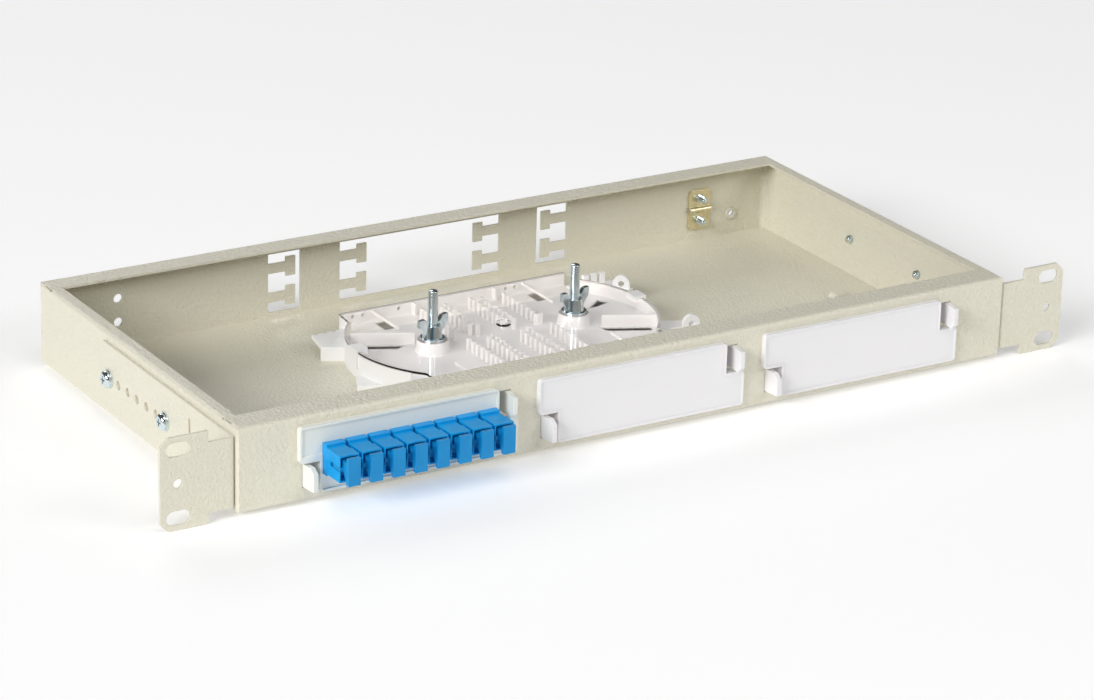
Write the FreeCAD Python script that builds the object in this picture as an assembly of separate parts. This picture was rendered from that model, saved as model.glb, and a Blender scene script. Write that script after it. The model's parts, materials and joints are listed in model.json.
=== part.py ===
"""Rack-mounted fibre distribution tray, one unit high, shown with its top cover off.

The pieces are laid out from the front panel (y = 0 on its outer face, +Y towards the rear) and from
the underside of the floor (z = 0), with x = 0 on the centre line. They are then moved so that the
origin is the centre of the rack slot pattern on the back faces of the ears. Millimetres.
"""
import FreeCAD, Part
import math
import os

V = FreeCAD.Vector
X, Y, Z = V(1, 0, 0), V(0, 1, 0), V(0, 0, 1)

# Rack standard
rack_width = 482.6
rack_pitch = 31.75
slot_inset = 8.75
ear_height = 43.65

# Sides given to small round pieces that repeat, and to their holes
round_sides = 16
small_sides = 8

# Sheet-metal body
body_depth = 204.0
body_height = 40.0
sheet = 1.2
bend = 2.0
rear_corner = 4.0
front_flange = 14.4
rear_flange = 12.6
side_flange = 6.6
relief_width = 0.9
relief_length = 7.0
relief_hole = 0.9
pilot_r = 0.7
pilot_gap = 2.4
pilot_x = 159.3
pilot_y = 7.0
bridge_inset = 26.0
bridge_y = 98.0
bridge_length = 11.0
bridge_width = 5.0
bridge_rise = 2.6

# Windows for the snap-in plates
window_width = 105.0
window_height = 27.0
window_pitch = 121.0
window_z = 19.7

# Cable openings in the rear wall, with tie tabs
entry_z = 18.4
entry_height = 30.0
centre_entry = 90.2
side_entry = 17.6
side_entry_x = 75.6
tab_pitch = 14.9
tab_stem = 5.0
tab_reach = 9.7
tab_head = 9.8
tab_head_width = 5.2
spare_hole_r = 2.25
spare_hole_inset = 40.7
spare_hole_z = 18.7
spare_hole_pitch = 12.0

# Mounting ears
ear_reach = 36.3
ear_sheet = 1.5
ear_setback = 1.25
ear_bend = 1.0
ear_mid_z = 19.5
ear_plate = 23.3
ear_corner = 4.0
ear_tongue_height = 33.0
ear_leg_end = 131.0
slot_length = 11.3
slot_width = 6.6
ear_hole_r = 2.1
leg_holes = 7
leg_hole_pitch = 9.55
leg_hole_first = 67.0
leg_slot_y = 43.0
leg_slot_z = 26.0
leg_slot_size = (2.0, 6.5)

# Ear screws and washers
screw_r = 2.0
screw_hole_r = 2.15
screw_head_r = 4.0
screw_head = 2.4
screw_crown_r = 3.0
screw_tip = 2.6
washer_r = 4.5
washer = 0.8

# Snap-in plates
plate_width = 110.0
plate_height = 32.0
plate_proud = 3.0
plate_corner = 1.8
corner_steps = 3
notch_width = 10.0
notch_half_gap = 1.0
collar_gap = 0.3
collar_wall = 1.5
collar_depth = 7.0
field_recess = 0.8
field_rim = 1.2
field_back = 0.2
field_margin = 1.0
finger = 2.4
finger_reach = 8.5
finger_lean = 1.0
finger_height = 10.8
finger_rise = 12.9
finger_chamfer = 2.6
catch_reach = 1.8
catch_gap = 0.15
catch_depth = 2.6
finger_root = 1.5

# Fibre adapters
adapter_count = 8
adapter_pitch = 11.1
adapter_width = 9.7
adapter_height = 12.5
adapter_front = 12.0
adapter_flange = 3.8
adapter_flange_height = 14.6
adapter_rear = 11.5
adapter_rear_width = 9.2
adapter_waist = 0.8
adapter_waist_length = 5.0
hole_clearance = 0.1
cavity_width = 7.4
cavity_height = 9.1
mouth_width = 8.5
mouth_height = 10.8
mouth_depth = 2.0
adapter_web = 3.5
holder_r = 2.6
holder_front = 9.0
holder_rear = 5.5
sleeve_r = 1.65
sleeve_bore = 1.25
sleeve_length = 11.4
sleeve_clearance = 0.05
keyway_height = 2.2
keyway_length = 8.6

# Dust caps
cap_clearance = 0.15
cap_setback = 2.6
cap_plug = 9.0
cap_skin = 1.5
cap_bore_r = 3.0
cap_key_height = 1.8
cap_key_rise = 0.1
cap_key_length = 6.0
cap_grip_width = 6.0
cap_grip_front = 4.8
cap_grip_back = 2.7
cap_grip_low = -6.6
cap_grip_top = 6.4
cap_web_top = 4.0
cap_web_low = -1.3
cap_web_flare = -5.2
cap_web_step = 0.3
cap_top_step = 0.4

# Splice tray moulding
tray_x = -5.5
tray_y = 112.5
tray_depth = 97.0
tray_length = 157.5
tray_shoulder = 125.0
tray_shoulder_y = 37.5
tray_shoulder_step = 1.0
tray_wall = 1.5
tray_floor_z = 6.3
tray_floor = 1.0
tray_wall_top = 13.3
stud_pitch = 78.1
stud_offset = -0.35
boss_r = 7.4
boss_foot_r = 9.2
stud_r = 2.5
stud_hole_r = 2.7
stud_top = 38.6
comb_rows = (-23.0, -10.0, 10.0, 23.0)
comb_fins = 8
comb_pitch = 4.4
comb_start = 7.0
fin_length = 1.6
fin_width = 1.2
fin_top = 13.0
floor_slot = (6.2, 11.0)
floor_slot_x = 42.4
floor_slot_y = 39.2
wedge_hole = ((55.6, 13.5), (61.8, 14.4), (70.5, 16.8), (66.8, 22.3))
retainer = 1.3
retainer_gap = 0.2
retainers = ((-45.2, 1, 20.5), (38.4, 1, 17.0), (-43.2, -1, 30.0), (41.7, -1, 30.0))
rear_hole_r = 1.0
rear_hole_z = 11.2
rear_hole_xs = (-56.0, -50.5, -30.7, 29.1, 34.2)
corner_gap = 9.5
left_front_gap = 15.5
entry_turn = -25.0
entry_slot = 5.2
left_slot = (-55.2, 13.8, 19.0)
right_slot = (57.5, -17.3, 26.5)
guide_wall = 1.3
guide_top = 13.0
left_guide = (-55.8, 17.6, 30.5)
right_guide = (61.1, -15.3, 26.5)
platform_top = 8.2
platform_sheet = 1.8
platform_rear = 44.0
platform_side = 16.5
platform_taper = 3.5
platform_nose_x = 10.0
platform_nose_y = 5.5
left_platform = 20.8
right_platform = 28.0
tie_hole_r = 0.7
tie_hole_pitch = 5.9
tie_hole_x = 11.6
tie_hole_y = 10.6
tooth = 2.4
tooth_depth = 1.2
tooth_pitch = 4.8
teeth = 3
post_width = 2.9
post_depth = 2.0
post_top = 13.3
loop_width = 8.6
loop_rise = 6.5
loop_eye_r = 1.6
loop_depth = 2.4
rear_loop_x = 86.0
rear_loop_y = 31.2
rear_loop_turn = -44.0
front_loop_turn = -11.0
arm_x = 68.0
arm_y = -17.0
arm_reach = 27.0
arm_width = 10.0
foot_x = -77.5
foot_y = -11.0
foot_length = 14.0
foot_width = 13.0
foot = 2.8
clip_y = 3.5
clip_width = 8.0
clip_reach = 5.0
clip = 1.3
clip_gap = 0.1

# Clear lid and its fasteners
lid = 1.2
lid_knob_r = 3.5
lid_knob = 1.2
nut_washer_r = 6.2
nut_washer = 0.9
nut_hub_r = 4.9
nut_hub_top_r = 3.7
nut_hub = 6.0
nut_clearance = 0.05
wing_span = 18.0
wing_height = 10.0
wing = 2.2
wing_root = 1.0
wing_tip = 3.4
wing_tip_low = 6.2
wing_turn = 14.0

# Rear-wall hardware
clamp_inset = 41.5
clamp_z = 17.5
clamp_width = 12.8
clamp_height = 21.4
clamp = 1.5
clamp_corner = 2.0
clamp_ridge_r = 1.7
clamp_screw_pitch = 11.8
clamp_screw_tip = 5.0
earth_inset = 21.4
earth_z = 11.8
earth_r = 3.5
earth_rise = 1.0
earth_thread_r = 1.65
earth_shank_r = 2.6

# Worked out from the sizes above
rack_span = rack_width - 2 * slot_inset
body_width = rack_width - 2 * ear_reach
bridge_x = body_width / 2 - bridge_inset
spare_hole_x = spare_hole_inset - body_width / 2
clamp_x = body_width / 2 - clamp_inset
earth_x = body_width / 2 - earth_inset
inner_half = body_width / 2 - sheet
rear_inner = body_depth - sheet
ear_back = ear_setback + ear_sheet
origin = V(0, ear_back, ear_mid_z)
window_xs = [-window_pitch, 0.0, window_pitch]
field_y = -plate_proud + field_recess
adapter_y = field_y - adapter_flange - adapter_front
tray_floor_top = tray_floor_z + tray_floor
platform_low = platform_top - platform_sheet
lid_top = tray_wall_top + lid
stud_xs = [tray_x - stud_pitch / 2, tray_x + stud_pitch / 2]
stud_y = tray_y + stud_offset
leg_hole_ys = [leg_hole_first + i * leg_hole_pitch for i in range(leg_holes)]


def box(x0, x1, y0, y1, z0, z1):
    return Part.makeBox(x1 - x0, y1 - y0, z1 - z0, V(x0, y0, z0))


def centred(x, y, width, depth, low, high):
    return box(x - width / 2, x + width / 2, y - depth / 2, y + depth / 2, low, high)


def rod(r, length, start, axis):
    return Part.makeCylinder(r, length, start, axis)


def prism(points, travel):
    """A polygon of points, extruded along a vector."""
    return Part.Face(Part.makePolygon(points + points[:1])).extrude(travel)


def ring(r, centre, axis, sides):
    across = Y if abs(axis.x) > 0.5 else X
    up = axis.cross(across)
    turns = [2 * math.pi * i / sides for i in range(sides)]
    return [centre + across * (r * math.cos(t)) + up * (r * math.sin(t)) for t in turns]


def facet_rod(r, length, start, axis, sides=small_sides):
    """A rod with flat sides."""
    return prism(ring(r, start, axis, sides), axis * length)


def facet_cone(r, end_r, length, start, axis, sides=round_sides):
    """A cone's frustum with flat sides."""
    low, high = ring(r, start, axis, sides), ring(end_r, start + axis * length, axis, sides)
    outlines = [low[::-1], high]
    outlines += [list(side) for side in zip(low, low[1:] + low[:1], high[1:] + high[:1], high)]
    return Part.Solid(Part.Shell([Part.Face(Part.makePolygon(points + points[:1])) for points in outlines]))


def corner_rounded(points, r):
    """An outline across Y, anticlockwise from the front, its outward corners rounded by a few chords."""
    outline = []
    for before, here, after in zip(points[-1:] + points[:-1], points, points[1:] + points[:1]):
        back, on = (before - here).normalize(), (after - here).normalize()
        if back.cross(on).dot(Y) < 0:
            outline.append(here)
            continue
        middle = here + (back + on) * r
        for i in range(corner_steps + 1):
            t = math.pi / 2 * i / corner_steps
            outline.append(middle - on * (r * math.cos(t)) - back * (r * math.sin(t)))
    return outline


def fused(shapes):
    whole = shapes[0].multiFuse(shapes[1:]) if len(shapes) > 1 else shapes[0]
    return whole.removeSplitter()


def edges_along(shape, axis, keep=lambda middle: True):
    """Straight edges of a shape that run along an axis, where keep accepts their middle."""
    found = []
    for edge in shape.Edges:
        if edge.Curve.TypeId != "Part::GeomLine":
            continue
        way = edge.Vertexes[1].Point - edge.Vertexes[0].Point
        if way.cross(axis).Length < 1e-6 * way.Length and keep(edge.CenterOfMass):
            found.append(edge)
    return found


def obround(length, width, centre, travel):
    """A slot along X, cut through along a vector in Y."""
    half = (length - width) / 2
    bar = box(-half, half, 0, travel, -width / 2, width / 2)
    ends = [rod(width / 2, travel, V(side * half, 0, 0), Y) for side in (-1, 1)]
    return fused([bar] + ends).translated(centre)


def mirrored(shape):
    return shape.mirror(V(0, 0, 0), X)


def rounded_case():
    """The body's outside: the bends along X and along Y, mitred, and the upright corners."""
    half = body_width / 2
    case = box(-half, half, 0, body_depth, 0, body_height)
    upright = case.makeFillet(bend, edges_along(case, Z, lambda middle: middle.y < bend))
    rear = edges_along(upright, Z, lambda middle: middle.y > body_depth - bend)
    upright = upright.makeFillet(rear_corner, rear)
    for axis in (X, Y):
        upright = upright.common(case.makeFillet(bend, edges_along(case, axis)))
    return upright


def inner_case():
    """The body's inside, with its rear corners."""
    case = box(-inner_half, inner_half, sheet, rear_inner, sheet, body_height - sheet)
    rear = edges_along(case, Z, lambda middle: middle.y > body_depth / 2)
    return case.makeFillet(rear_corner - sheet, rear)


def rear_entry(x, width, tab_sides):
    """An opening through the rear wall, with a pair of tie tabs left standing on each listed side."""
    through = (rear_inner - sheet, body_depth + sheet)
    hole = box(x - width / 2, x + width / 2, *through, entry_z - entry_height / 2, entry_z + entry_height / 2)
    for side in tab_sides:
        for row in (-1, 1):
            z = entry_z + row * tab_pitch / 2
            root = x + side * width / 2
            neck = root - side * tab_reach
            tip = neck - side * tab_head_width
            stem = box(min(root, neck), max(root, neck), *through, z - tab_stem / 2, z + tab_stem / 2)
            head = box(min(neck, tip), max(neck, tip), *through, z - tab_head / 2, z + tab_head / 2)
            hole = hole.cut(stem.fuse(head))
    return hole


def floor_bridge(side):
    """The lanced strip on one side, raised from the floor for a cable tie."""
    x, y = side * bridge_x, bridge_y
    half, step = bridge_length / 2, bridge_rise
    outline = [V(x - half, y, 0), V(x - half + step, y, bridge_rise), V(x + half - step, y, bridge_rise),
               V(x + half, y, 0), V(x + half, y, sheet), V(x + half - step, y, bridge_rise + sheet),
               V(x - half + step, y, bridge_rise + sheet), V(x - half, y, sheet)]
    return prism(outline, Y * bridge_width).translated(Y * (-bridge_width / 2))


def chassis_tray():
    """One folded sheet: floor, front with three windows, rear with cable openings, sides and top rim."""
    body = rounded_case().cut(inner_case())
    cuts = [box(-body_width / 2 + side_flange, body_width / 2 - side_flange, front_flange,
                body_depth - rear_flange, body_height - 2 * sheet, body_height + sheet)]
    for x in window_xs:
        cuts.append(box(x - window_width / 2, x + window_width / 2, -sheet, 2 * sheet,
                        window_z - window_height / 2, window_z + window_height / 2))
    cuts.append(rear_entry(0, centre_entry, (-1, 1)))
    for side in (-1, 1):
        cuts.append(rear_entry(side * side_entry_x, side_entry, (side,)))
        seam = side * (body_width / 2 - sheet)
        for y in (front_flange - relief_length, body_depth - rear_flange - relief_width):
            cuts.append(box(seam - relief_width / 2, seam + relief_width / 2, y, y + relief_length,
                            body_height - bend, body_height + sheet))
        for y in (front_flange, body_depth - rear_flange - relief_width):
            cuts.append(facet_rod(relief_hole, bend + sheet, V(seam, y, body_height - bend), Z))
        for gap in (-pilot_gap / 2, pilot_gap / 2):
            place = V(side * pilot_x + gap, pilot_y, body_height - 2 * sheet)
            cuts.append(facet_rod(pilot_r, 3 * sheet, place, Z))
        for y in (leg_hole_ys[0], leg_hole_ys[-1]):
            place = V(side * body_width / 2 - 1.5 * sheet, y, ear_mid_z)
            cuts.append(facet_rod(screw_hole_r, 3 * sheet, place, X))
        cuts.append(centred(side * bridge_x, bridge_y, bridge_length, bridge_width, -sheet, 2 * sheet))
    for row in (-1, 1):
        z = spare_hole_z + row * spare_hole_pitch / 2
        cuts.append(rod(spare_hole_r, 3 * sheet, V(spare_hole_x, rear_inner - sheet, z), Y))
        z = clamp_z + row * clamp_screw_pitch / 2
        cuts.append(facet_rod(screw_hole_r, 3 * sheet, V(clamp_x, rear_inner - sheet, z), Y))
    cuts.append(facet_rod(earth_shank_r, 3 * sheet, V(earth_x, rear_inner - sheet, earth_z), Y, round_sides))
    body = body.cut(cuts)
    return fused([body] + [floor_bridge(side) for side in (-1, 1)])


def right_mounting_ear():
    """A folded ear: slotted plate on the rack rail, narrower tongue, and a leg along the side wall."""
    wall = body_width / 2
    tip = rack_width / 2
    mid = ear_mid_z
    half, tongue = ear_height / 2, ear_tongue_height / 2
    step = tip - ear_plate
    front = ear_setback
    outline = [V(wall, front, mid - tongue), V(step, front, mid - tongue), V(step, front, mid - half),
               V(tip - ear_corner, front, mid - half), V(tip, front, mid - half + ear_corner),
               V(tip, front, mid + half - ear_corner), V(tip - ear_corner, front, mid + half),
               V(step, front, mid + half), V(step, front, mid + tongue), V(wall, front, mid + tongue)]
    plate = prism(outline, Y * ear_sheet)
    leg = box(wall, wall + ear_sheet, front, ear_leg_end, mid - tongue, mid + tongue)
    ear = fused([plate, leg])
    outer = edges_along(ear, Z, lambda m: abs(m.x - wall) < 0.01 and abs(m.y - front) < 0.01)
    ear = ear.makeFillet(ear_bend + ear_sheet, outer)
    inner = edges_along(ear, Z, lambda m: abs(m.x - wall - ear_sheet) < 0.01 and abs(m.y - ear_back) < 0.01)
    ear = ear.makeFillet(ear_bend, inner)
    cuts = [rod(ear_hole_r, 3 * ear_sheet, V(rack_span / 2, front - ear_sheet, mid), Y)]
    for row in (-1, 1):
        centre = V(rack_span / 2, front - ear_sheet, mid + row * rack_pitch / 2)
        cuts.append(obround(slot_length, slot_width, centre, 3 * ear_sheet))
    for y in leg_hole_ys:
        cuts.append(facet_rod(screw_hole_r, 3 * ear_sheet, V(wall - ear_sheet, y, mid), X))
    width, height = leg_slot_size
    cuts.append(box(wall - ear_sheet, wall + 2 * ear_sheet, leg_slot_y - width / 2, leg_slot_y + width / 2,
                    leg_slot_z - height / 2, leg_slot_z + height / 2))
    return ear.cut(cuts)


def pan_screw(seat, way, length):
    """A pan-head screw: its head against seat, and its shank along way."""
    head = facet_cone(screw_head_r, screw_crown_r, screw_head, seat, -way)
    return fused([head, facet_rod(screw_r, length, seat, way)])


def right_ear_screws():
    seat_x = body_width / 2 + ear_sheet + washer
    length = washer + ear_sheet + sheet + screw_tip
    return Part.makeCompound([pan_screw(V(seat_x, y, ear_mid_z), -X, length)
                              for y in (leg_hole_ys[0], leg_hole_ys[-1])])


def right_ear_washers():
    rings = []
    for y in (leg_hole_ys[0], leg_hole_ys[-1]):
        start = V(body_width / 2 + ear_sheet, y, ear_mid_z)
        hole = facet_rod(screw_hole_r, washer, start, X)
        rings.append(facet_rod(washer_r, washer, start, X, round_sides).cut(hole))
    return Part.makeCompound(rings)


def plate_outline():
    """The plates' front outline about their centre: a rectangle with two opposite corners notched."""
    half, rise, gap = plate_width / 2, plate_height / 2, notch_half_gap
    notch = half - notch_width
    return [V(-half, 0, -gap), V(-notch, 0, -gap), V(-notch, 0, -rise), V(half, 0, -rise),
            V(half, 0, gap), V(notch, 0, gap), V(notch, 0, rise), V(-half, 0, rise)]


def latch_finger():
    """The lower-left finger: a springy strip rooted at the collar's back, with a catch and a grip."""
    outside = -window_width / 2 + collar_gap
    inside = outside + finger
    back = collar_depth
    grip = outside + finger_lean
    low = -finger_rise
    top = low + finger_height
    strip = prism([V(outside, back, low), V(outside, sheet + catch_gap + catch_depth, low),
                   V(outside - catch_reach, sheet + catch_gap, low), V(outside, sheet + catch_gap, low),
                   V(outside, 0, low), V(grip, -finger_reach, low), V(grip + finger, -finger_reach, low),
                   V(inside, 0, low), V(inside, back, low)], Z * finger_height)
    upper = edges_along(strip, X, lambda m: m.y < -finger_reach + 0.01 and m.z > top - 0.01)
    strip = strip.makeChamfer(finger_chamfer, upper)
    root_end = -plate_width / 2 + notch_width + collar_wall
    root = box(outside, root_end, back - finger_root, back, low, top)
    return fused([strip, root])


def snap_plate():
    """A plate's front, its collar in the window, and its two latch fingers, about the window centre."""
    front = prism(corner_rounded(plate_outline(), plate_corner), Y * (-plate_proud))
    half, rise = window_width / 2 - collar_gap, window_height / 2 - collar_gap
    notch = plate_width / 2 - notch_width
    collar = box(-half, half, 0, collar_depth, -rise, rise)
    cavity = box(-notch + collar_wall, notch - collar_wall, 0, collar_depth, -rise + collar_wall,
                 rise - collar_wall)
    pocket = box(-half, -notch, 0, collar_depth, -rise, -notch_half_gap + collar_wall)
    side = box(-half + collar_wall, -notch, 0, collar_depth, collar_wall, rise - collar_wall)
    hollows = [cavity]
    for shape in (pocket, side):
        hollows += [shape, shape.rotated(V(0, 0, 0), Y, 180)]
    finger_left = latch_finger()
    return fused([front, collar.cut(hollows), finger_left, finger_left.rotated(V(0, 0, 0), Y, 180)])


def adapter_plate():
    """The plate for the adapters: a recessed field inside a rim, with a hole for each adapter."""
    plate = snap_plate()
    half, rise, gap = plate_width / 2 - field_rim, plate_height / 2 - field_rim, notch_half_gap
    notch = plate_width / 2 - notch_width - field_rim
    field = [box(-half, notch, -plate_proud - 1, field_y, gap + field_rim, rise),
             box(-notch, half, -plate_proud - 1, field_y, -rise, -gap - field_rim),
             box(-notch, notch, -plate_proud - 1, field_y, -rise, rise)]
    plate = plate.cut(fused(field))
    rise = window_height / 2 - collar_wall - field_margin
    back = box(-notch, notch, -field_back, 1, -rise, rise)
    plate = plate.cut(back)
    hole = (adapter_rear_width / 2 + hole_clearance, adapter_height / 2 + hole_clearance)
    for x in adapter_offsets():
        plate = plate.cut(box(x - hole[0], x + hole[0], field_y - 1, 1, -hole[1], hole[1]))
    return plate


def adapter_offsets():
    return [(i - (adapter_count - 1) / 2) * adapter_pitch for i in range(adapter_count)]


def fibre_adapter():
    """One adapter about its own axis: flange on the plate, open at both ends, keyed on the left."""
    half, rise = adapter_width / 2, adapter_height / 2
    flange_front = field_y - adapter_flange
    rear = field_y + adapter_rear
    body = box(-half, half, adapter_y, flange_front, -rise, rise)
    flange = box(-half, half, flange_front, field_y, -adapter_flange_height / 2, adapter_flange_height / 2)
    back = box(-adapter_rear_width / 2, adapter_rear_width / 2, field_y, rear, -rise, rise)
    holder_start = field_y - adapter_web / 2 - holder_front
    waist_front = flange_front - adapter_waist_length
    cuts = [box(half - adapter_waist, half + 1, waist_front, flange_front, -rise - 1, rise + 1)]
    wide, high = cavity_width / 2, cavity_height / 2
    cuts.append(box(-wide, wide, adapter_y - 1, field_y - adapter_web / 2, -high, high))
    cuts.append(box(-wide, wide, field_y + adapter_web / 2, rear + 1, -high, high))
    wide, high = mouth_width / 2, mouth_height / 2
    cuts.append(box(-wide, wide, adapter_y - 1, adapter_y + mouth_depth, -high, high))
    key = keyway_height / 2
    cuts.append(box(-half - 1, 0, adapter_y - 1, adapter_y + keyway_length, -key, key))
    cuts.append(box(-half - 1, 0, rear - keyway_length, rear + 1, -key, key))
    shell = fused([body, flange, back]).cut(cuts)
    holder_length = holder_front + adapter_web + holder_rear
    holder = facet_rod(holder_r, holder_length, V(0, holder_start, 0), Y)
    bore = facet_rod(sleeve_r + sleeve_clearance, holder_length, V(0, holder_start, 0), Y)
    return fused([shell, holder]).cut(bore)


def alignment_sleeve():
    start = V(0, field_y - sleeve_length / 2, 0)
    return facet_rod(sleeve_r, sleeve_length, start, Y).cut(facet_rod(sleeve_bore, sleeve_length, start, Y))


def dust_cap():
    """A cap about its adapter's axis: hollow plug set back in the mouth, key, and a web to the grip."""
    half, rise = cavity_width / 2 - cap_clearance, cavity_height / 2 - cap_clearance
    wide = cap_grip_width / 2
    mouth = adapter_y
    plug = box(-half, half, mouth + cap_setback, mouth + cap_plug, -rise, rise)
    plug = plug.cut(facet_rod(cap_bore_r, cap_plug, V(0, mouth + cap_setback + cap_skin, 0), Y))
    key = box(-adapter_width / 2 + cap_clearance, -wide, mouth, mouth + cap_key_length,
              cap_key_rise - cap_key_height / 2, cap_key_rise + cap_key_height / 2)
    flare = cap_grip_back - cap_web_step
    profile = [(-cap_setback, cap_web_low), (0, cap_web_low), (flare, cap_web_flare),
               (cap_grip_back, cap_grip_low), (cap_grip_front, cap_grip_low), (cap_grip_front, cap_grip_top),
               (cap_grip_back + cap_top_step, cap_grip_top), (flare, cap_web_top),
               (-cap_setback, cap_web_top)]
    grip = prism([V(-wide, mouth - f, z) for f, z in profile], X * cap_grip_width)
    return fused([plug, key, grip])


def tray_outline(inset, z):
    """The tray's plan: straight front and rear, short shoulders, and ends bowed outwards."""
    deep = tray_depth / 2 - inset
    shoulder = tray_shoulder / 2 - inset
    bow_x, bow_y = shoulder + tray_shoulder_step, tray_shoulder_y
    end = tray_length / 2 - inset
    lines = [(V(-shoulder, deep, z), V(shoulder, deep, z)), (V(shoulder, deep, z), V(bow_x, bow_y, z)),
             (V(bow_x, -bow_y, z), V(shoulder, -deep, z)), (V(shoulder, -deep, z), V(-shoulder, -deep, z)),
             (V(-shoulder, -deep, z), V(-bow_x, -bow_y, z)), (V(-bow_x, bow_y, z), V(-shoulder, deep, z))]
    edges = [Part.LineSegment(a, b).toShape() for a, b in lines]
    for side in (-1, 1):
        bow = Part.Arc(V(side * bow_x, bow_y, z), V(side * end, 0, z), V(side * bow_x, -bow_y, z))
        edges.append(bow.toShape())
    return Part.Face(Part.Wire(Part.__sortEdges__(edges)))


def tray_slab(inset, low, high):
    return tray_outline(inset, low).extrude(Z * (high - low))


def comb_fins_set():
    """Rows of upright fins, in a rear and a front group, that hold the splice sleeves along X."""
    fins = []
    for row in comb_rows:
        for group in (-1, 1):
            for i in range(comb_fins):
                y = group * (comb_start + i * comb_pitch)
                fins.append(centred(row, y, fin_length, fin_width, tray_floor_z, fin_top))
    return fins


def turned(shape, turn, x, y):
    """A shape drawn about the tray's centre, turned about Z and moved to its place."""
    return shape.rotated(V(0, 0, 0), Z, turn).translated(V(x, y, 0))


def entry_guide(x, y, length):
    """A slanted guide wall behind the slot where fibre tubes come in."""
    wall = box(-length / 2, length / 2, 0, guide_wall, tray_floor_z, guide_top)
    return turned(wall, entry_turn, x, y)


def entry_opening(x, y, length):
    """A slot through the floor, pointed towards the tray's middle."""
    half, wide = length / 2, entry_slot / 2
    inward = 1 if x < 0 else -1
    points = [V(-inward * half, wide, 0), V(-inward * half, -wide, 0),
              V(inward * (half - entry_slot), -wide, 0), V(inward * half, wide, 0)]
    return turned(prism(points, Z * body_height), entry_turn, x, y)


def outside_tray(shape):
    """What is left of a shape outside the tray's wall, joined with half of its thickness."""
    return shape.cut(tray_slab(tray_wall / 2, 0, body_height))


def corner_platform(side, reach):
    """A plate outside a rear corner, on a skirt along its front, where cables are tied down."""
    near = tray_shoulder / 2 - tray_wall
    far = tray_shoulder / 2 + reach
    front = platform_rear - platform_side
    nose_x, nose_y = far - platform_nose_x, front - platform_nose_y
    inner = far - platform_taper * tray_wall / platform_side
    top = [(near, platform_rear), (far - platform_taper, platform_rear), (far, front), (nose_x, nose_y),
           (near, nose_y)]
    edge = top[2:] + [(near, nose_y + tray_wall), (nose_x, nose_y + tray_wall), (inner, front + tray_wall)]
    plate = prism([V(side * x, y, platform_low) for x, y in top], Z * platform_sheet)
    skirt = prism([V(side * x, y, sheet) for x, y in edge], Z * (platform_top - sheet))
    return outside_tray(fused([plate, skirt]))


def left_rear_platform():
    """The left platform, toothed along its rear edge and with a pair of small holes."""
    platform = corner_platform(-1, left_platform)
    edge = -(tray_shoulder / 2 + left_platform - platform_taper)
    for i in range(teeth):
        x = edge + (i + 0.5) * tooth_pitch
        gap = centred(x, platform_rear, tooth, 2 * tooth_depth, platform_low, platform_top)
        platform = platform.cut(gap)
    for i in range(2):
        place = V(-tray_shoulder / 2 - tie_hole_x + (i - 0.5) * tie_hole_pitch, platform_rear - tie_hole_y, 0)
        platform = platform.cut(facet_rod(tie_hole_r, body_height, place, Z))
    return platform


def right_rear_platform():
    """The right platform, with upright posts along its rear edge."""
    pieces = [corner_platform(1, right_platform)]
    edge = tray_shoulder / 2 + right_platform - platform_taper
    for i in range(teeth):
        x = edge - post_width - (i + 0.5) * tooth_pitch
        y = platform_rear - post_depth / 2
        pieces.append(centred(x, y, post_width, post_depth, platform_low, post_top))
    return pieces + [fibre_loop(rear_loop_x, rear_loop_y, rear_loop_turn)]


def fibre_loop(x, y, turn):
    """An upright eyelet with a round top."""
    half = loop_width / 2
    crown_z = platform_top + loop_rise - half
    arch = box(-half, half, -loop_depth / 2, loop_depth / 2, platform_low, crown_z)
    crown = facet_rod(half, loop_depth, V(0, -loop_depth / 2, crown_z), Y, round_sides)
    eye = facet_rod(loop_eye_r, loop_depth, V(0, -loop_depth / 2, crown_z), Y)
    return turned(fused([arch, crown]).cut(eye), turn, x, y)


def right_arm():
    """The slanted arm at the right front, with an eyelet near its end."""
    bar = box(0, arm_reach, -arm_width / 2, arm_width / 2, platform_low, platform_top)
    along = V(arm_reach - loop_width / 2, (loop_depth - arm_width) / 2, 0)
    place = FreeCAD.Rotation(Z, entry_turn).multVec(along)
    return [outside_tray(turned(bar, entry_turn, arm_x, arm_y)),
            fibre_loop(arm_x + place.x, arm_y + place.y, front_loop_turn)]


def left_foot():
    """A low slanted foot on the box's floor, at the left front."""
    slab = box(-foot_length / 2, foot_length / 2, -foot_width / 2, foot_width / 2, sheet, sheet + foot)
    return outside_tray(turned(slab, entry_turn, foot_x, foot_y))


def lid_clip(side):
    """The clip at one end of the tray, which reaches over the lid."""
    end = tray_length / 2
    low, high = clip_y - clip_width / 2, clip_y + clip_width / 2

    def block(x0, x1, z0, z1):
        return box(*sorted((side * x0, side * x1)), low, high, z0, z1)

    return [block(end - tray_wall / 2, end + clip_gap + clip, tray_floor_z, tray_wall_top),
            block(end + clip_gap, end + clip_gap + clip, tray_floor_z, lid_top + clip),
            block(end - clip_reach, end + clip_gap + clip, lid_top, lid_top + clip)]


def stud_hole(side):
    return facet_rod(stud_hole_r, body_height, V(side * stud_pitch / 2, stud_offset, 0), Z, round_sides)


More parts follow.
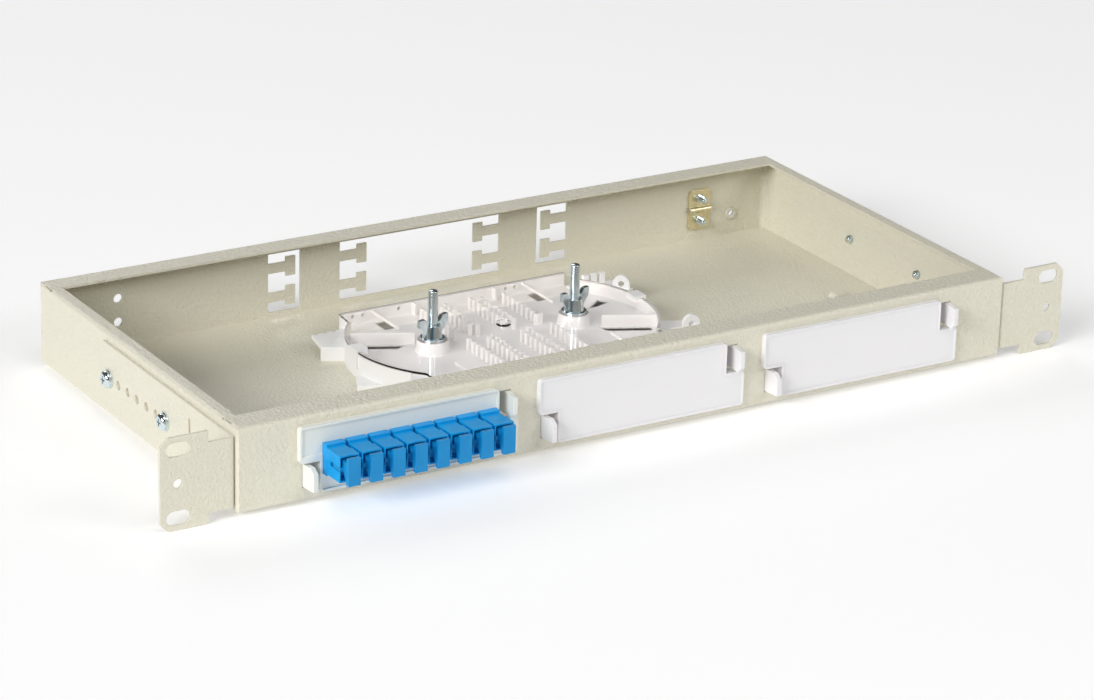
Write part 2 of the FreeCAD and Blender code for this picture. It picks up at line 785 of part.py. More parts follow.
def splice_tray():
    """One white moulding: raised floor on a skirt, low wall, combs, stud bosses, guides and tie places."""
    skirt = tray_slab(0, sheet, tray_wall_top).cut(tray_slab(tray_wall, sheet, tray_floor_z))
    tray = skirt.cut(tray_slab(tray_wall, tray_floor_top, tray_wall_top))
    shoulder = tray_shoulder / 2
    inside = tray_depth / 2 - tray_wall
    cuts = [entry_opening(*left_slot), entry_opening(*right_slot)]
    cuts.append(prism([V(x, y, 0) for x, y in wedge_hole], Z * tray_floor_top))
    for x in rear_hole_xs:
        cuts.append(facet_rod(rear_hole_r, 3 * tray_wall, V(x, inside - tray_wall, rear_hole_z), Y))
    for side in (-1, 1):
        for row in (-1, 1):
            gap = left_front_gap if side < 0 and row < 0 else corner_gap
            y0, y1 = sorted((row * (inside - gap), row * inside))
            x0, x1 = sorted((side * (shoulder - 2 * tray_wall), side * tray_length / 2))
            cuts.append(box(x0, x1, y0, y1, tray_floor_top, tray_wall_top))
            place = (side * floor_slot_x, row * floor_slot_y)
            cuts.append(centred(*place, *floor_slot, 0, tray_floor_top))
    pieces = [tray.cut(cuts)] + comb_fins_set() + [entry_guide(*left_guide), entry_guide(*right_guide)]
    for x, row, tip in retainers:
        y0, y1 = sorted((row * tip, row * (inside + tray_wall / 2)))
        high = tray_wall_top - retainer_gap
        pieces.append(box(x - retainer / 2, x + retainer / 2, y0, y1, high - retainer, high))
    pieces += [left_rear_platform(), left_foot()] + right_rear_platform() + right_arm()
    for side in (-1, 1):
        place = V(side * stud_pitch / 2, stud_offset, sheet)
        pieces.append(facet_cone(boss_foot_r, boss_r, tray_wall_top - sheet, place, Z))
        pieces += lid_clip(side)
    tray = fused(pieces)
    for side in (-1, 1):
        tray = tray.cut(stud_hole(side))
    return tray.translated(V(tray_x, tray_y, 0))


def splice_tray_lid():
    """The flat clear lid, clamped on the tray's wall and bosses."""
    knob = facet_rod(lid_knob_r, lid + lid_knob, V(0, 0, tray_wall_top), Z, round_sides)
    cover = fused([tray_slab(0, tray_wall_top, lid_top), knob])
    for side in (-1, 1):
        cover = cover.cut(stud_hole(side))
    return cover.translated(V(tray_x, tray_y, 0))


def tray_stud(x):
    """A threaded stud welded on the floor."""
    return rod(stud_r, stud_top - sheet, V(x, stud_y, sheet), Z)


def tray_washers():
    rings = []
    for x in stud_xs:
        start = V(x, stud_y, lid_top)
        hole = facet_rod(stud_hole_r, nut_washer, start, Z, round_sides)
        rings.append(facet_rod(nut_washer_r, nut_washer, start, Z, round_sides).cut(hole))
    return Part.makeCompound(rings)


def wing_nut(x):
    """A wing nut on its washer, both wings raised, threaded on the stud with running clearance."""
    base = lid_top + nut_washer
    hub = facet_cone(nut_hub_r, nut_hub_top_r, nut_hub, V(0, 0, base), Z)
    pieces = [hub]
    for side in (-1, 1):
        tip = side * wing_span / 2
        near = side * (nut_hub_top_r - wing_root)
        outline = [(near, wing_root), (side * nut_hub_r, wing_root), (tip, wing_tip_low), (tip, wing_height),
                   (tip - side * wing_tip, wing_height), (near, nut_hub)]
        pieces.append(prism([V(u, -wing / 2, base + v) for u, v in outline], Y * wing))
    nut = fused(pieces).cut(rod(stud_r + nut_clearance, body_height, V(0, 0, 0), Z))
    return nut.rotated(V(0, 0, 0), Z, wing_turn).translated(V(x, stud_y, 0))


def cable_clamp_plate():
    """A small pressed plate with a half-round ridge, which clamps a cable's strength member."""
    back = rear_inner
    left, right = clamp_x - clamp_width / 2, clamp_x + clamp_width / 2
    low, high = clamp_z - clamp_height / 2, clamp_z + clamp_height / 2
    outline = [V(left, back, low), V(right, back, low), V(right, back, high), V(left, back, high)]
    plate = prism(corner_rounded(outline, clamp_corner), Y * (-clamp))
    start = V(left, back - clamp, clamp_z)
    ridge = facet_rod(clamp_ridge_r, clamp_width, start, X, round_sides)
    groove = facet_rod(clamp_ridge_r, clamp_width, start + Y * clamp, X, round_sides)
    front = box(clamp_x - clamp_width, clamp_x + clamp_width, back - clamp - 5, back, 0, body_height)
    plate = fused([plate, ridge.common(front)]).cut(groove)
    for row in (-1, 1):
        centre = V(clamp_x, back - clamp, clamp_z + row * clamp_screw_pitch / 2)
        plate = plate.cut(facet_rod(screw_hole_r, clamp, centre, Y))
    return plate


def clamp_screws():
    seats = [V(clamp_x, body_depth, clamp_z + row * clamp_screw_pitch / 2) for row in (-1, 1)]
    return Part.makeCompound([pan_screw(seat, -Y, sheet + clamp + clamp_screw_tip) for seat in seats])


def earth_nut():
    """The clinched nut for the earth lead, its collar on the inside of the rear wall."""
    centre = V(earth_x, rear_inner, earth_z)
    collar = facet_cone(earth_r, earth_r - earth_rise / 2, earth_rise, centre, -Y)
    shank = facet_rod(earth_shank_r, sheet, centre, Y, round_sides)
    thread = rod(earth_thread_r, 10 * sheet, centre - Y * (5 * sheet), Y)
    return fused([collar, shank]).cut(thread)


def in_window(shape, index):
    return shape.translated(V(window_xs[index], 0, window_z))


pieces = {
    "chassis_tray": chassis_tray(),
    "right_mounting_ear": right_mounting_ear(),
    "right_ear_screws": right_ear_screws(),
    "right_ear_washers": right_ear_washers(),
    "adapter_plate": in_window(adapter_plate(), 0),
    "middle_blank_plate": in_window(snap_plate(), 1),
    "right_blank_plate": in_window(snap_plate(), 2),
    "splice_tray": splice_tray(),
    "splice_tray_lid": splice_tray_lid(),
    "left_tray_stud": tray_stud(stud_xs[0]),
    "right_tray_stud": tray_stud(stud_xs[1]),
    "tray_washers": tray_washers(),
    "left_wing_nut": wing_nut(stud_xs[0]),
    "right_wing_nut": wing_nut(stud_xs[1]),
    "cable_clamp_plate": cable_clamp_plate(),
    "clamp_screws": clamp_screws(),
    "earth_nut": earth_nut(),
}
for name in ("mounting_ear", "ear_screws", "ear_washers"):
    pieces["left_" + name] = mirrored(pieces["right_" + name])

adapter = fibre_adapter()
cap = dust_cap()
sleeves = []
for number, offset in enumerate(adapter_offsets(), 1):
    place = X * offset
    pieces[f"fibre_adapter_{number}"] = in_window(adapter.translated(place), 0)
    pieces[f"dust_cap_{number}"] = in_window(cap.translated(place), 0)
    sleeves.append(in_window(alignment_sleeve().translated(place), 0))
pieces["alignment_sleeves"] = Part.makeCompound(sleeves)

os.makedirs("parts", exist_ok=True)
for name, shape in pieces.items():
    shape.translated(-origin).exportStep(f"parts/{name}.step")
    solids = shape.Solids
    print(f"{name}: {len(solids)} solid(s), {sum(s.Volume for s in solids):.1f} mm3, valid {shape.isValid()}")
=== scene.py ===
# The looks of a one-unit fibre distribution box, shown with its top cover off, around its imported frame.
import json
import math
import bmesh
import bpy
from mathutils import Matrix, Vector

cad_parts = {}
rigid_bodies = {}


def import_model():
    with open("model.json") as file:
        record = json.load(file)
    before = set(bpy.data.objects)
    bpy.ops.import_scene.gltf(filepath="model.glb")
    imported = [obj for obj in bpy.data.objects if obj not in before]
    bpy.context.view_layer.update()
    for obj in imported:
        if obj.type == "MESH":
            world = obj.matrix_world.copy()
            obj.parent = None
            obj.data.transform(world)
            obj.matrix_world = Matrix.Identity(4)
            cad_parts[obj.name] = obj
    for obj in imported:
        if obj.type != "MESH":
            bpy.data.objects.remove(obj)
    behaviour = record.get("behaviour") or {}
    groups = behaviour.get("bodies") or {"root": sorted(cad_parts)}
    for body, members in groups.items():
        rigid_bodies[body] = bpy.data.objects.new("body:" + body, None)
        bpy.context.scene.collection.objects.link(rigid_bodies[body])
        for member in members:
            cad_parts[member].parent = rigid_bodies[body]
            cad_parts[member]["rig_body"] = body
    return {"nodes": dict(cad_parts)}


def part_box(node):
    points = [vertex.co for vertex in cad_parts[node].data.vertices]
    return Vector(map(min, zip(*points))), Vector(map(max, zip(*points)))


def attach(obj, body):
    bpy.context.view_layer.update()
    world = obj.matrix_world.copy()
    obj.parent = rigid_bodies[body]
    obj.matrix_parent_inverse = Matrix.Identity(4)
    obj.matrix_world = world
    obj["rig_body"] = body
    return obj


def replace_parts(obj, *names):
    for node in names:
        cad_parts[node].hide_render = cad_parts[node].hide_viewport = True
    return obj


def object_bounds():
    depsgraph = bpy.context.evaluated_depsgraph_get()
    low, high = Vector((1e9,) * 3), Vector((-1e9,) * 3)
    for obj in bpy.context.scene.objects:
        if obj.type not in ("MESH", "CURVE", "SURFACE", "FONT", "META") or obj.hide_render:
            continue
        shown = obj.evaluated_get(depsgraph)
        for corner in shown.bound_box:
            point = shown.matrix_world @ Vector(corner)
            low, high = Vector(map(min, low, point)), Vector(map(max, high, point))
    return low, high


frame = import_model()
cad_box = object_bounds()


# Chassis
# One folded steel sheet: floor, front with three windows, rear with cable openings, sides and a rim.
# Beige-grey powder paint covers it all over, with a pebbled grain, and rounds its cut edges and folds.
paint_colour = (0.74, 0.71, 0.59)
paint_shade = (0.715, 0.685, 0.562)
paint_roughness = 0.33
paint_blotches = 520
paint_span = (0.3, 0.62)
paint_pebbles = (600, 0.00055)
paint_fine_grain = (1700, 0.00015)
paint_edge = 0.00022
fold_radius = 0.003
fold_length = 0.02
fold_segments = 4
seam = 1e-6
flat_turn = math.radians(1)
sharp_turn = math.radians(38)
smooth_turn = math.radians(50)
noise_detail = 3.0
even_span = (0.35, 0.65)
nodes = frame["nodes"]


def finish_of(name, colour, roughness, **sockets):
    """A material with one colour and roughness; other sockets are named with underscores."""
    material = bpy.data.materials.new(name)
    material.use_nodes = True
    shader = material.node_tree.nodes["Principled BSDF"]
    shader.inputs["Base Color"].default_value = (*colour, 1)
    shader.inputs["Roughness"].default_value = roughness
    for socket, value in sockets.items():
        shader.inputs[socket.replace("_", " ")].default_value = value
    return material


def speckle(material, scale):
    """A noise over the piece, with about scale grains to a metre."""
    nodes_of = material.node_tree.nodes
    noise = nodes_of.new("ShaderNodeTexNoise")
    noise.inputs["Scale"].default_value = scale
    noise.inputs["Detail"].default_value = noise_detail
    place = nodes_of.new("ShaderNodeTexCoord")
    material.node_tree.links.new(place.outputs["Object"], noise.inputs["Vector"])
    return noise.outputs["Fac"]


def blotch(material, socket, scale, low, high, span=even_span):
    """Lets a shader socket drift between two colours or two greys over the piece."""
    tree = material.node_tree
    ramp = tree.nodes.new("ShaderNodeValToRGB")
    for stop, place, value in zip(ramp.color_ramp.elements, span, (low, high)):
        stop.position = place
        stop.color = (*value, 1) if isinstance(value, tuple) else (value, value, value, 1)
    tree.links.new(speckle(material, scale), ramp.inputs["Fac"])
    tree.links.new(ramp.outputs["Color"], tree.nodes["Principled BSDF"].inputs[socket])


def grain(material, *layers):
    """Bumps the surface by layers of noise, each given as grains to a metre and depth in metres."""
    tree = material.node_tree
    below = None
    for scale, depth in layers:
        bump = tree.nodes.new("ShaderNodeBump")
        bump.inputs["Distance"].default_value = depth
        tree.links.new(speckle(material, scale), bump.inputs["Height"])
        if below:
            tree.links.new(below, bump.inputs["Normal"])
        below = bump.outputs["Normal"]
    tree.links.new(below, tree.nodes["Principled BSDF"].inputs["Normal"])


def whole(node):
    """A CAD node's shape with its triangles joined and its flat faces whole again."""
    shape = bmesh.new()
    shape.from_mesh(nodes[node].data)
    bmesh.ops.remove_doubles(shape, verts=shape.verts, dist=seam)
    bmesh.ops.dissolve_limit(shape, angle_limit=flat_turn, verts=shape.verts, edges=shape.edges)
    return shape


def corners(shape, convex=True, shortest=0.0):
    """The sharp edges of a shape that point outwards, or inwards, and are longer than a length."""
    return [edge for edge in shape.edges if edge.is_manifold and edge.calc_face_angle() > sharp_turn
            and edge.is_convex == convex and edge.calc_length() > shortest]


def rounded(shape, edges, width, segments=2):
    """Rounds some edges of a shape over a width on each side."""
    bmesh.ops.bevel(shape, geom=edges, offset=width, offset_type="OFFSET", affect="EDGES", segments=segments,
                    profile=0.5, material=-1, clamp_overlap=True)


def piece_of(shape, name, body, material):
    """Turns a shape into a piece that rides on a body and takes its finish from a material slot."""
    mesh = bpy.data.meshes.new(name)
    shape.to_mesh(mesh)
    shape.free()
    mesh.materials.append(material)
    cad_normals = mesh.attributes.get("custom_normal")
    if cad_normals:
        mesh.attributes.remove(cad_normals)
    mesh.shade_smooth()
    mesh.set_sharp_from_angle(angle=smooth_turn)
    piece = bpy.data.objects.new(name, mesh)
    bpy.context.scene.collection.objects.link(piece)
    piece.modifiers.new("even_faces", "WEIGHTED_NORMAL").keep_sharp = True
    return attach(piece, body)


def stand_in(shape, node, material):
    """Makes the finished shape of a CAD node the piece that stands for it."""
    piece = piece_of(shape, node + "_finished", nodes[node]["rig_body"], material)
    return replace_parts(piece, node)


powder_paint = finish_of("powder_paint", paint_colour, paint_roughness)
blotch(powder_paint, "Base Color", paint_blotches, paint_shade, paint_colour, paint_span)
grain(powder_paint, paint_pebbles, paint_fine_grain)

chassis = whole("chassis_tray")
inner_folds = corners(chassis, convex=False, shortest=fold_length)
rounded(chassis, inner_folds, fold_radius, segments=fold_segments)
rounded(chassis, corners(chassis), paint_edge)
stand_in(chassis, "chassis_tray", powder_paint)


# Mounting ears
# A folded steel ear on each side: a slotted plate for the rack rail and a leg screwed to the side wall.
# They are cut and folded like the chassis, and painted with it.
def soften(node, edge, material, shortest=0.0, segments=2):
    """Rounds the outer corners of a CAD node, and lets the result stand for it."""
    shape = whole(node)
    rounded(shape, corners(shape, shortest=shortest), edge, segments)
    stand_in(shape, node, material)


for ear in ("left_mounting_ear", "right_mounting_ear"):
    soften(ear, paint_edge, powder_paint)


# Ear screws and washers
# Zinc-plated pan-head screws with a cross recess, on flat washers, two for each ear.
# Turned and rolled steel: the tips that come through the side walls show their thread.
zinc_colour = (0.70, 0.79, 0.83)
zinc_roughness = (0.1, 0.2)
zinc_blotches = 900
head_profile = ((0.0023, 0.0024), (0.0031, 0.0022), (0.0037, 0.0016), (0.0040, 0.0007), (0.0040, 0.0))
head_height = head_profile[0][1]
recess_arm = 0.0019
recess_half = 0.00042
recess_depth = 0.0013
recess_taper = 0.7
screw_radius = 0.0020
screw_core = 0.0016
screw_pitch = 0.0007
tip_chamfer = 0.0004
thread_from_tip = 0.0003
thread_from_seat = 0.0006
thread_sunk = 0.2
thread_rise = (0.0, 0.36, 0.5, 0.86)
turn_steps = 24
thread_steps = 16
ear_washer_edge = 0.00012

zinc = finish_of("zinc_plate", zinc_colour, zinc_roughness[1], Metallic=1.0)
blotch(zinc, "Roughness", zinc_blotches, *zinc_roughness)


def lathe(shape, profile):
    """Spins a profile of radius and height about Z."""
    points = [shape.verts.new((r, 0, z)) for r, z in profile]
    edges = [shape.edges.new(pair) for pair in zip(points, points[1:])]
    bmesh.ops.spin(shape, geom=points + edges, cent=(0, 0, 0), axis=(0, 0, 1), dvec=(0, 0, 0),
                   angle=2 * math.pi, steps=turn_steps, use_merge=True, use_duplicate=False)
    bmesh.ops.remove_doubles(shape, verts=shape.verts, dist=seam)


def join(shape, other, place=Matrix.Identity(4)):
    """Adds another shape to a shape, at a place, and frees it."""
    bmesh.ops.transform(other, matrix=place, verts=other.verts)
    mesh = bpy.data.meshes.new("joined")
    other.to_mesh(mesh)
    other.free()
    shape.from_mesh(mesh)
    bpy.data.meshes.remove(mesh)


def add_thread(shape, core, crest, pitch, low, high):
    """A closed ridge that winds up round a core."""
    ridge = bmesh.new()
    root = core - thread_sunk * (crest - core)
    outline = zip((root, crest, crest, root), thread_rise)
    points = [ridge.verts.new((r, 0, low + rise * pitch)) for r, rise in outline]
    start = ridge.faces.new(points)
    turns = (high - low) / pitch - 1
    steps = int(turns * thread_steps)
    bmesh.ops.spin(ridge, geom=[start] + list(start.edges) + points, cent=(0, 0, 0), axis=(0, 0, 1),
                   dvec=(0, 0, pitch / thread_steps), angle=2 * math.pi * steps / thread_steps, steps=steps,
                   use_merge=False, use_duplicate=False)
    bmesh.ops.recalc_face_normals(ridge, faces=ridge.faces)
    join(shape, ridge)


def pan_screw(length):
    """A screw whose seat is at the origin, with its head up along Z."""
    screw = bmesh.new()
    tip = -length
    shank = ((screw_core, 0.0), (screw_core, tip + tip_chamfer), (screw_core - tip_chamfer, tip), (0.0, tip))
    lathe(screw, head_profile + shank)
    rim = [edge for edge in screw.edges if edge.is_boundary]
    arm, half = recess_arm, recess_half
    outline = ((half, arm), (half, half), (arm, half), (arm, -half), (half, -half), (half, -arm),
               (-half, -arm), (-half, -half), (-arm, -half), (-arm, half), (-half, half), (-half, arm))
    points = [screw.verts.new((x, y, head_height)) for x, y in outline]
    mouth = [screw.edges.new(pair) for pair in zip(points, points[1:] + points[:1])]
    bmesh.ops.bridge_loops(screw, edges=rim + mouth)
    sunk = bmesh.ops.extrude_edge_only(screw, edges=mouth)["geom"]
    low = [part for part in sunk if isinstance(part, bmesh.types.BMVert)]
    bmesh.ops.scale(screw, vec=(recess_taper, recess_taper, 1), verts=low)
    bmesh.ops.translate(screw, vec=(0, 0, -recess_depth), verts=low)
    bottom = [part for part in sunk if isinstance(part, bmesh.types.BMEdge)
              and all(vert in low for vert in part.verts)]
    bmesh.ops.contextual_create(screw, geom=bottom)
    bmesh.ops.recalc_face_normals(screw, faces=screw.faces)
    add_thread(screw, screw_core, screw_radius, screw_pitch, tip + thread_from_tip, -thread_from_seat)
    return screw


def screws_for(node, head_way, spread):
    """Two screws in the place of a CAD node: heads along head_way, set apart along spread."""
    low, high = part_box(node)
    way = Vector(head_way)
    axis = max(range(3), key=lambda i: abs(way[i]))
    across = max(range(3), key=lambda i: abs(spread[i]))
    third = 3 - axis - across
    middle = (low + high) / 2
    outer = high if way[axis] > 0 else low
    length = high[axis] - low[axis] - head_height
    head_radius = (high[third] - low[third]) / 2
    turn = Vector((0, 0, 1)).rotation_difference(way).to_matrix().to_4x4()
    pair = bmesh.new()
    for end in (low[across] + head_radius, high[across] - head_radius):
        seat = middle.copy()
        seat[across] = end
        seat[axis] = outer[axis] - way[axis] * head_height
        join(pair, pan_screw(length), Matrix.Translation(seat) @ turn)
    stand_in(pair, node, zinc)


for side, way in (("left", -1), ("right", 1)):
    screws_for(side + "_ear_screws", (way, 0, 0), (0, 1, 0))
    soften(side + "_ear_washers", ear_washer_edge, zinc)


# Snap-in plates
# Three moulded plates pressed into the windows and held by two springy latch fingers each.
# Two are white blanks with a shallow rim; the one that carries the adapters is a bluish plastic.
plate_edge = 0.0006
plate_shortest = 0.0004
plate_segments = 3
blank_rim = 0.001
blank_step = 0.0005
forwards = -0.99
blank_colour = (0.84, 0.82, 0.825)
blank_roughness = (0.32, 0.42)
blank_ripple = (140, 0.00003)
carrier_colour = (0.82, 0.825, 0.77)
carrier_roughness = (0.34, 0.46)
carrier_ripple = (160, 0.00003)
plate_blotches = 260
plate_fine_grain = (2600, 0.000008)
milkiness = 0.04


def pale_plastic(name, colour, roughness, blotches, *layers):
    """A slightly translucent moulded plastic whose gloss drifts between two roughnesses."""
    plastic = finish_of(name, colour, roughness[0], Subsurface_Weight=milkiness)
    blotch(plastic, "Roughness", blotches, *roughness)
    grain(plastic, *layers)
    return plastic


blank_plastic = pale_plastic("blank_plastic", blank_colour, blank_roughness, plate_blotches, blank_ripple,
                             plate_fine_grain)
carrier_plastic = pale_plastic("carrier_plastic", carrier_colour, carrier_roughness, plate_blotches,
                               carrier_ripple, plate_fine_grain)
soften("adapter_plate", plate_edge, carrier_plastic, plate_shortest, plate_segments)
for plate in ("middle_blank_plate", "right_blank_plate"):
    blank = whole(plate)
    rounded(blank, corners(blank, shortest=plate_shortest), plate_edge, plate_segments)
    face = max((f for f in blank.faces if f.normal.y < forwards), key=lambda f: f.calc_area())
    for depth, inset in ((0.0, blank_rim), (-blank_step, blank_step)):
        bmesh.ops.inset_individual(blank, faces=[face], thickness=inset, depth=depth,
                                   use_even_offset=True)
    stand_in(blank, plate, blank_plastic)


# Fibre adapters
# Eight single push-pull adapters in blue moulded plastic, side by side in the carrier plate.
# Each is welded from two halves and held by its flange, with a keyway on its left.
adapter_blue = (0.002, 0.345, 0.77)
adapter_shade = (0.002, 0.315, 0.73)
adapter_roughness = 0.34
adapter_blotches = 120
adapter_edge = 0.00018
blue_gloss = 0.3
blue_grain = (1800, 0.000012)


def blue_plastic(name, colour, shade, roughness, blotches):
    """A satin moulded plastic that drifts a little towards a darker shade."""
    plastic = finish_of(name, colour, roughness, Specular_IOR_Level=blue_gloss)
    blotch(plastic, "Base Color", blotches, shade, colour)
    grain(plastic, blue_grain)
    return plastic


adapter_plastic = blue_plastic("adapter_plastic", adapter_blue, adapter_shade, adapter_roughness,
                               adapter_blotches)
for adapter in sorted(name for name in nodes if name.startswith("fibre_adapter")):
    soften(adapter, adapter_edge, adapter_plastic)


# Alignment sleeves
# A slit bronze tube in the middle of each adapter lines the two fibre ends up.
# Drawn and burnished, it shows only down the open rear sockets.
bronze_colour = (0.62, 0.40, 0.20)
bronze_roughness = (0.24, 0.4)
bronze_blotches = 1200
bronze_grain = (3000, 0.000006)
bronze = finish_of("bronze_tube", bronze_colour, bronze_roughness[0], Metallic=1.0)
blotch(bronze, "Roughness", bronze_blotches, *bronze_roughness)
grain(bronze, bronze_grain)
nodes["alignment_sleeves"].data.materials.clear()
nodes["alignment_sleeves"].data.materials.append(bronze)


# Dust caps
# A soft blue cap plugs the front of each adapter, with an upright finger grip ahead of it.
# Moulded in a slightly darker plastic than the adapters, and pulled straight out by hand.
cap_blue = (0.006, 0.265, 0.60)
cap_shade = (0.005, 0.245, 0.57)
cap_roughness = 0.38
cap_blotches = 130
cap_edge = 0.00018
cap_plastic = blue_plastic("cap_plastic", cap_blue, cap_shade, cap_roughness, cap_blotches)
for cap in sorted(name for name in nodes if name.startswith("dust_cap")):
    soften(cap, cap_edge, cap_plastic)


# Tray studs
# Two zinc-plated threaded studs stand on the floor and carry the splice tray.
# A plain core with a rolled thread from the tray's lid to the chamfered top.
stud_pitch = 0.0008
stud_depth = 0.0001
stud_chamfer = 0.0006
thread_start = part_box("splice_tray_lid")[0].z
for node in ("left_tray_stud", "right_tray_stud"):
    low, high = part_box(node)
    crest = (high.x - low.x) / 2
    core = crest - stud_depth
    stud = bmesh.new()
    lathe(stud, ((0.0, low.z), (core, low.z), (core, high.z - stud_chamfer), (core - stud_chamfer, high.z),
                 (0.0, high.z)))
    bmesh.ops.recalc_face_normals(stud, faces=stud.faces)
    add_thread(stud, core, crest, stud_pitch, thread_start, high.z - stud_chamfer / 2)
    middle = (low + high) / 2
    bmesh.ops.translate(stud, vec=(middle.x, middle.y, 0), verts=stud.verts)
    stand_in(stud, node, zinc)


# Splice tray
# One white moulding on the studs: a raised floor in a low wall, with guides, and combs of stout blunt fins.
# Injection moulded in a slightly translucent plastic with small soft edges; ribs stiffen its rear wall.
tray_edge = 0.00022
tray_shortest = 0.0006
tray_middle = Vector((-0.0055, 0.10975, 0))
tray_floor_top = -0.0122
fin_sunk = 0.0003
fin_top = -0.0064
fin_size = (0.0018, 0.0021)
fin_rows = ((-0.0230, 0.0070), (-0.0131, 0.0092), (-0.0100, 0.0070), (0.0051, 0.0092), (0.0100, 0.0070),
            (0.0230, 0.0070))
fin_pitch = 0.0044
fins_in_row = 8
rib_size = (0.0015, 0.0036)
rib_places = ((-0.0229, 0.0456), (0.0220, 0.0456))
end_fin_size = (0.0046, 0.0016)
end_fin_place = (0.0236, 0.0070)
tray_colour = (0.88, 0.865, 0.85)
tray_roughness = (0.34, 0.48)
tray_blotches = 240
tray_ripple = (170, 0.00003)
tray_fine_grain = (2400, 0.00001)


def upright_block(shape, place, size):
    """A block on the tray's floor, as high as the combs."""
    low = tray_floor_top - fin_sunk
    middle = tray_middle + Vector((*place, (low + fin_top) / 2))
    matrix = Matrix.Translation(middle) @ Matrix.Diagonal((*size, fin_top - low, 1))
    bmesh.ops.create_cube(shape, size=1, matrix=matrix)


tray_plastic = pale_plastic("tray_plastic", tray_colour, tray_roughness, tray_blotches, tray_ripple,
                            tray_fine_grain)
fins = bmesh.new()
for row, first in fin_rows:
    for group in (-1, 1):
        for i in range(fins_in_row):
            upright_block(fins, (row, group * (first + i * fin_pitch)), fin_size)
for rib in rib_places:
    upright_block(fins, rib, rib_size)
upright_block(fins, end_fin_place, end_fin_size)
rounded(fins, corners(fins), tray_edge)
tray = whole("splice_tray")
rounded(tray, corners(tray, shortest=tray_shortest), tray_edge)
join(tray, fins)
stand_in(tray, "splice_tray", tray_plastic)


# Clear lid
# A flat sheet of clear plastic over the tray, clamped by the wing nuts on the tray's bosses.
# Its polished faces are nearly invisible; its sawn edge reads as a thin dark line.
lid_colour = (0.98, 0.97, 0.97)
lid_roughness = (0.01, 0.03)
lid_blotches = 60
lid_index = 1.49
lid_tint = (0.80, 0.785, 0.775, 1)
lid_plastic = finish_of("lid_plastic", lid_colour, lid_roughness[0], Transmission_Weight=1.0, IOR=lid_index)
blotch(lid_plastic, "Roughness", lid_blotches, *lid_roughness)
lid_tree = lid_plastic.node_tree
open_to_lamps = lid_tree.nodes.new("ShaderNodeMixShader")
ray = lid_tree.nodes.new("ShaderNodeLightPath")
lid_tree.links.new(ray.outputs["Is Shadow Ray"], open_to_lamps.inputs["Fac"])
lid_tree.links.new(lid_tree.nodes["Principled BSDF"].outputs["BSDF"], open_to_lamps.inputs[1])
clear_way = lid_tree.nodes.new("ShaderNodeBsdfTransparent")
clear_way.inputs["Color"].default_value = lid_tint
lid_tree.links.new(clear_way.outputs["BSDF"], open_to_lamps.inputs[2])
lid_tree.links.new(open_to_lamps.outputs["Shader"], lid_tree.nodes["Material Output"].inputs["Surface"])
stand_in(whole("splice_tray_lid"), "splice_tray_lid", lid_plastic)


# Washers and wing nuts
# A flat washer under each wing nut spreads its load on the lid.
# The nuts are cast, tumbled and zinc plated, so their wings have soft edges.
tray_washer_edge = 0.00015
wing_edge = 0.0005
wing_shortest = 0.0006
wing_segments = 3
soften("tray_washers", tray_washer_edge, zinc)
for nut in ("left_wing_nut", "right_wing_nut"):
    soften(nut, wing_edge, zinc, wing_shortest, wing_segments)


# Cable clamp and earth nut
# A pressed clamp plate in yellow passivated zinc on the rear wall, with two screws from outside.
# Beside it sits a clinched steel nut for the earth lead, dulled by the paint round it.
clamp_colour = (0.82, 0.74, 0.50)
clamp_bright = (0.86, 0.79, 0.56)
clamp_deep = (0.76, 0.66, 0.42)
clamp_roughness = 0.32
clamp_blotches = 420
clamp_grain = (1500, 0.00001)
clamp_edge = 0.00025
earth_colour = (0.72, 0.70, 0.62)
earth_roughness = (0.42, 0.6)
earth_blotches = 900
earth_metal = 0.35
earth_edge = 0.00015
passivated = finish_of("yellow_passivate", clamp_colour, clamp_roughness, Metallic=1.0)
blotch(passivated, "Base Color", clamp_blotches, clamp_bright, clamp_deep)
grain(passivated, clamp_grain)
soften("cable_clamp_plate", clamp_edge, passivated)
screws_for("clamp_screws", (0, 1, 0), (0, 0, 1))
dull_zinc = finish_of("dull_zinc", earth_colour, earth_roughness[0], Metallic=earth_metal)
blotch(dull_zinc, "Roughness", earth_blotches, *earth_roughness)
soften("earth_nut", earth_edge, dull_zinc)


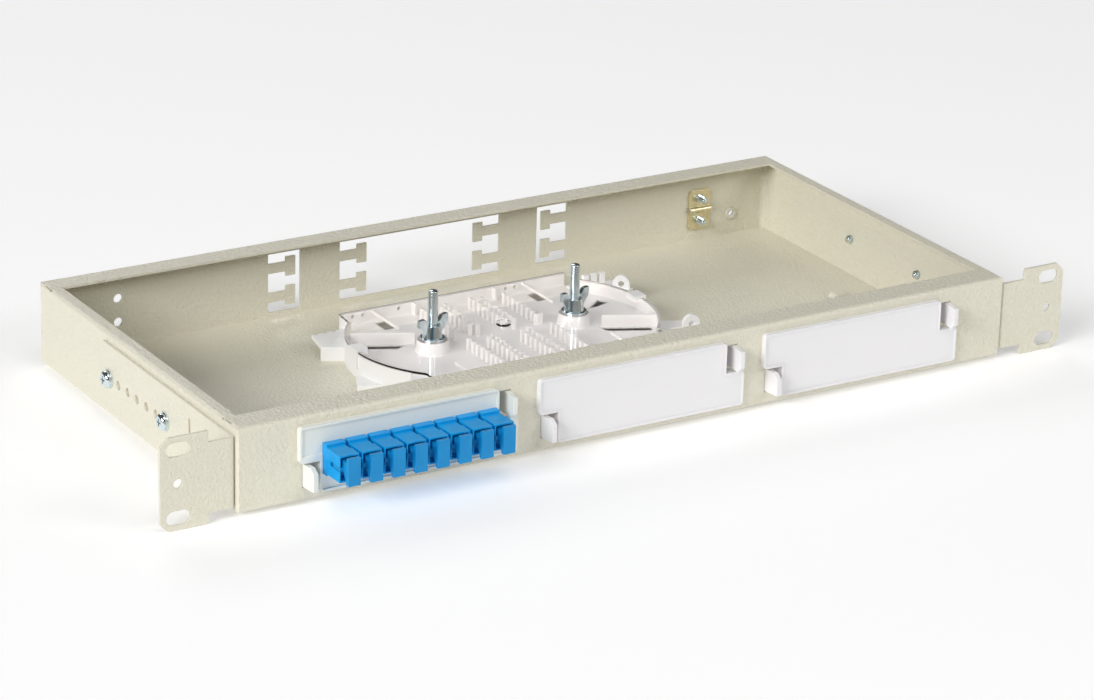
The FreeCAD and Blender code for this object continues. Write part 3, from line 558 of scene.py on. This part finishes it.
# Studio
# A plain pale floor under the box, a broad soft light from the left, and weaker ones from the right
# front, from above and from behind. The camera stands where the photograph was taken from.
floor_half = 6.0
floor_colour = (0.88, 0.88, 0.88)
floor_roughness = 0.8
floor_glow = 0.25
sky_glow = 0.08
white = (1, 1, 1, 1)
aim = Vector((0, 0.08, 0))
softboxes = (
    ("left_softbox", (-5.4, -1.9, 2.9), (3.9, 2.0), 325),
    ("right_softbox", (1.5, -2.3, 1.65), (1.6, 0.8), 25),
    ("top_softbox", (-0.3, -1.4, 2.9), (1.6, 1.6), 19),
    ("back_softbox", (0.6, 4.0, 2.6), (2.6, 1.6), 45),
)
photo_width = 1094
focal_pixels = 4142.4
sensor_width = 36
azimuth = math.radians(-31.68)
elevation = math.radians(21.33)
roll = math.radians(1.58)
camera_place = Vector((-0.95352, -1.46648, 0.70073))

floor_shape = bmesh.new()
bmesh.ops.create_grid(floor_shape, x_segments=1, y_segments=1, size=floor_half)
bmesh.ops.translate(floor_shape, vec=(0, 0, cad_box[0].z), verts=floor_shape.verts)
floor_mesh = bpy.data.meshes.new("studio_floor")
floor_shape.to_mesh(floor_mesh)
floor_shape.free()
floor_mesh.materials.append(finish_of("studio_floor", floor_colour, floor_roughness, Emission_Color=white,
                                      Emission_Strength=floor_glow))
floor = bpy.data.objects.new("studio_floor", floor_mesh)
bpy.context.scene.collection.objects.link(floor)

world = bpy.context.scene.world or bpy.data.worlds.new("studio")
bpy.context.scene.world = world
world.use_nodes = True
sky = world.node_tree.nodes["Background"]
sky.inputs["Color"].default_value = white
sky.inputs["Strength"].default_value = sky_glow

for name, place, (width, height), power in softboxes:
    light = bpy.data.lights.new(name, "AREA")
    light.shape = "RECTANGLE"
    light.size = width
    light.size_y = height
    light.energy = power
    lamp = bpy.data.objects.new(name, light)
    lamp.location = place
    lamp.rotation_euler = (aim - Vector(place)).to_track_quat("-Z", "Y").to_euler()
    bpy.context.scene.collection.objects.link(lamp)
bpy.context.scene.view_settings.view_transform = "Standard"

back = Vector((math.sin(azimuth) * math.cos(elevation), -math.cos(azimuth) * math.cos(elevation),
               math.sin(elevation)))
level = Vector((math.cos(azimuth), math.sin(azimuth), 0))
upright = back.cross(level)
right = level * math.cos(roll) + upright * math.sin(roll)
up = upright * math.cos(roll) - level * math.sin(roll)
camera = bpy.data.objects.new("camera", bpy.data.cameras.new("camera"))
camera.data.sensor_width = sensor_width
camera.data.lens = focal_pixels / photo_width * sensor_width
camera.matrix_world = Matrix.Translation(camera_place) @ Matrix((right, up, back)).transposed().to_4x4()
bpy.context.scene.collection.objects.link(camera)
bpy.context.scene.camera = camera
